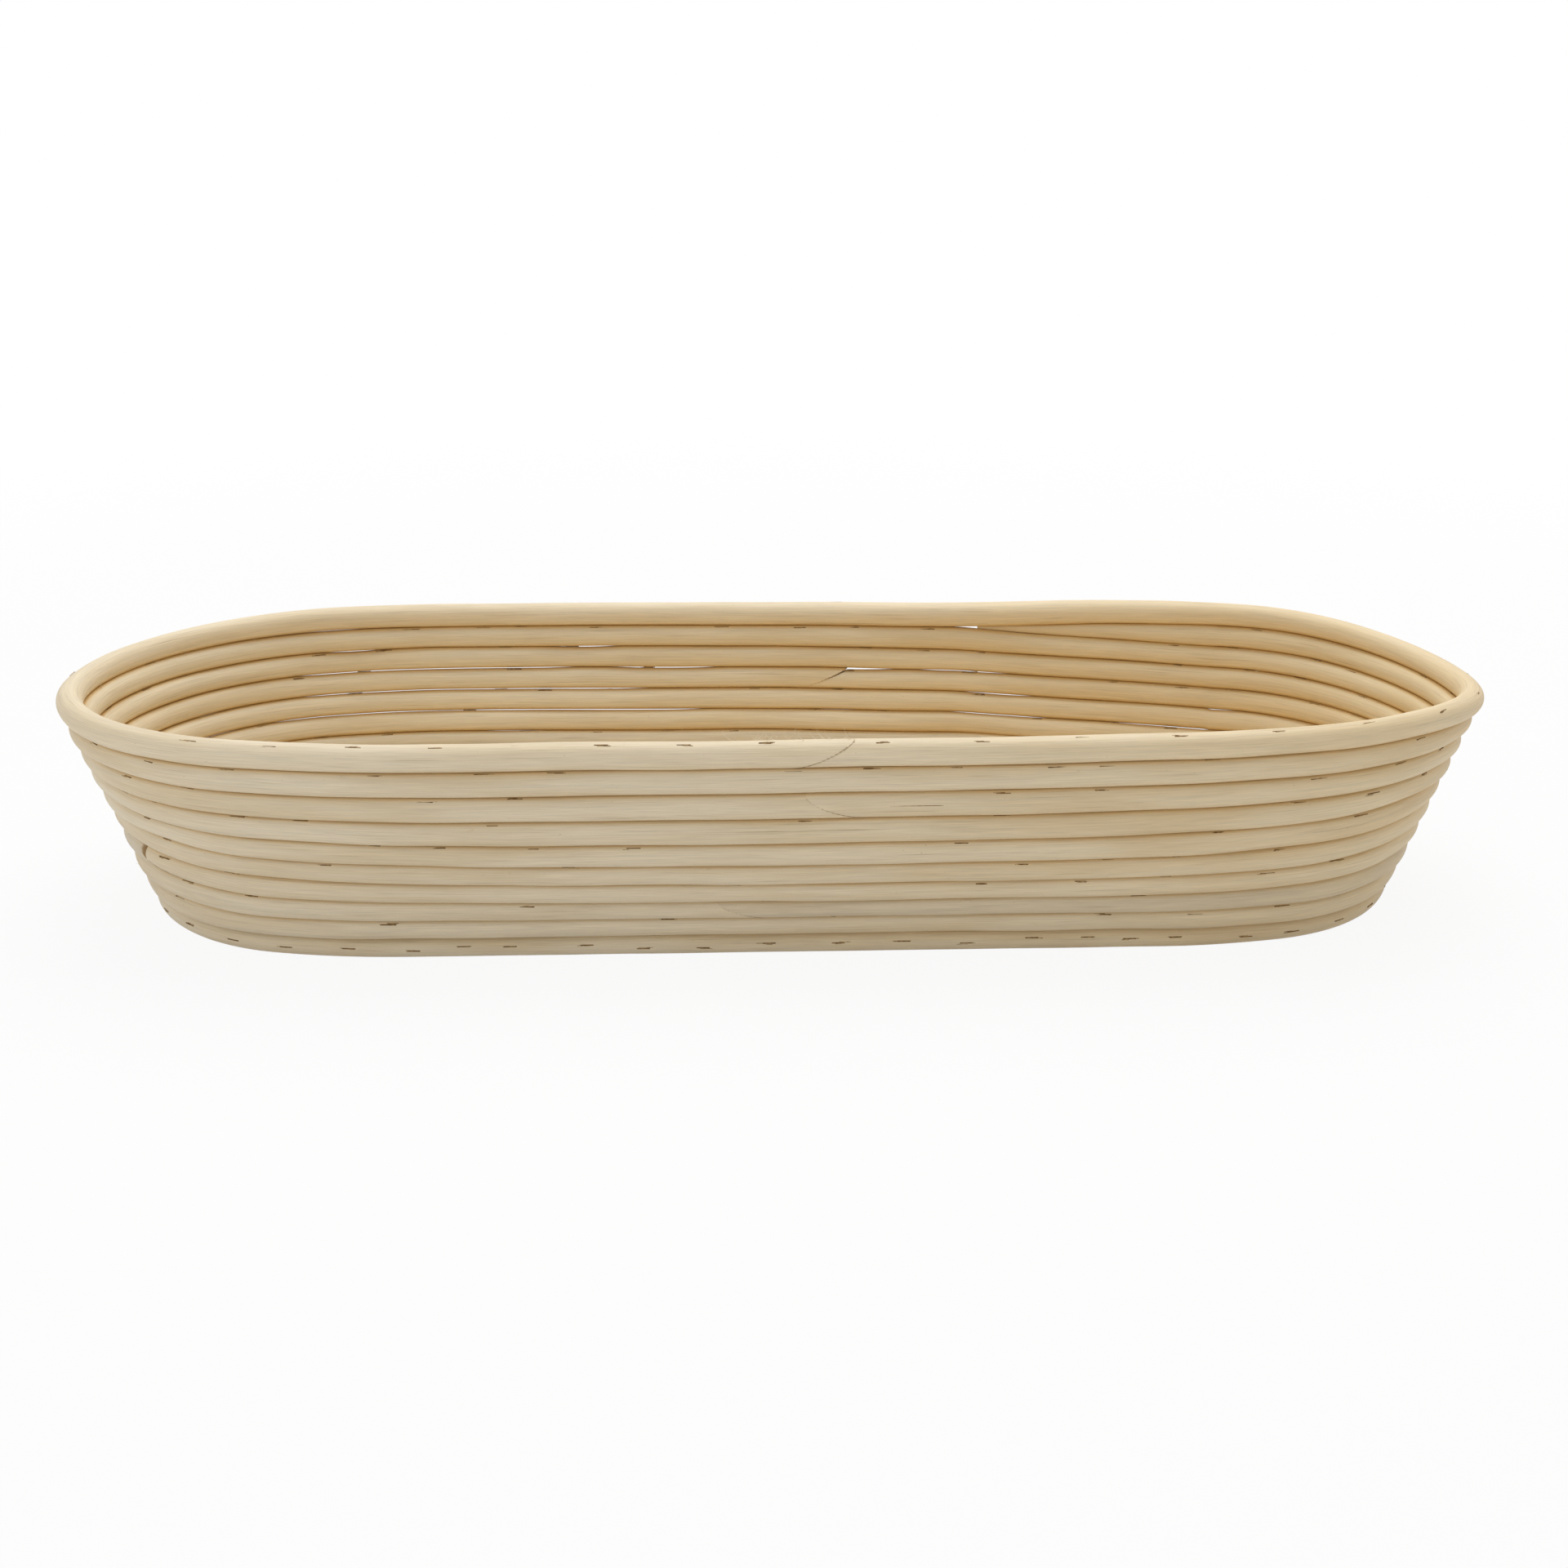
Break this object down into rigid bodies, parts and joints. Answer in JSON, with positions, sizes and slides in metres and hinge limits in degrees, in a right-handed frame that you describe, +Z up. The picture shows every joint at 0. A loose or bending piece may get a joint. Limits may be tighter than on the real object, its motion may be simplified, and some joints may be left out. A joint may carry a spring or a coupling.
{
  "type": "proofing basket",
  "caption": "Oblong bread proofing basket wound from a spiral of round cane, with a flat coiled base, leaning walls, spliced lengths and a stapled rim ring.",
  "frame": {"origin": "centre of the basket's plan, on the surface that the base rests on", "axes": "+X along the long sides, towards the end where the spiral climbs; +Y towards the back; +Z up, out of the open mouth"},
  "size_m": [0.4522, 0.166, 0.0732],
  "materials": {
    "base_cane": "bare, satin, fine lengthwise fibres",
    "wall_cane": "bare, satin, fine lengthwise fibres",
    "rim_cane": "bare, satin, fine lengthwise fibres",
    "staple_steel": "dull flat wire, sunk in the cane"
  },
  "bodies": {
    "root": {"base_cane_inner": "base_cane", "base_cane_outer": "base_cane", "base_core": "base_cane", "rim_cane": "rim_cane", "rim_staple_01": "staple_steel", "rim_staple_02": "staple_steel", "rim_staple_03": "staple_steel", "rim_staple_04": "staple_steel", "rim_staple_05": "staple_steel", "rim_staple_06": "staple_steel", "rim_staple_07": "staple_steel", "rim_staple_08": "staple_steel", "rim_staple_09": "staple_steel", "rim_staple_10": "staple_steel", "rim_staple_11": "staple_steel", "rim_staple_12": "staple_steel", "rim_staple_13": "staple_steel", "rim_staple_14": "staple_steel", "rim_staple_15": "staple_steel", "rim_staple_16": "staple_steel", "rim_staple_17": "staple_steel", "rim_staple_18": "staple_steel", "rim_staple_19": "staple_steel", "rim_staple_20": "staple_steel", "rim_staple_21": "staple_steel", "rim_staple_22": "staple_steel", "rim_staple_23": "staple_steel", "rim_staple_24": "staple_steel", "rim_staple_25": "staple_steel", "rim_staple_26": "staple_steel", "rim_staple_27": "staple_steel", "rim_staple_28": "staple_steel", "rim_staple_29": "staple_steel", "rim_staple_30": "staple_steel", "rim_staple_31": "staple_steel", "rim_staple_32": "staple_steel", "rim_staple_33": "staple_steel", "rim_staple_34": "staple_steel", "rim_staple_35": "staple_steel", "rim_staple_36": "staple_steel", "rim_staple_37": "staple_steel", "rim_staple_38": "staple_steel", "rim_staple_39": "staple_steel", "rim_staple_40": "staple_steel", "rim_staple_41": "staple_steel", "wall_cane_1": "wall_cane", "wall_cane_2": "wall_cane", "wall_cane_3": "wall_cane", "wall_cane_4": "wall_cane", "wall_cane_5": "wall_cane"}
  },
  "joints": []
}
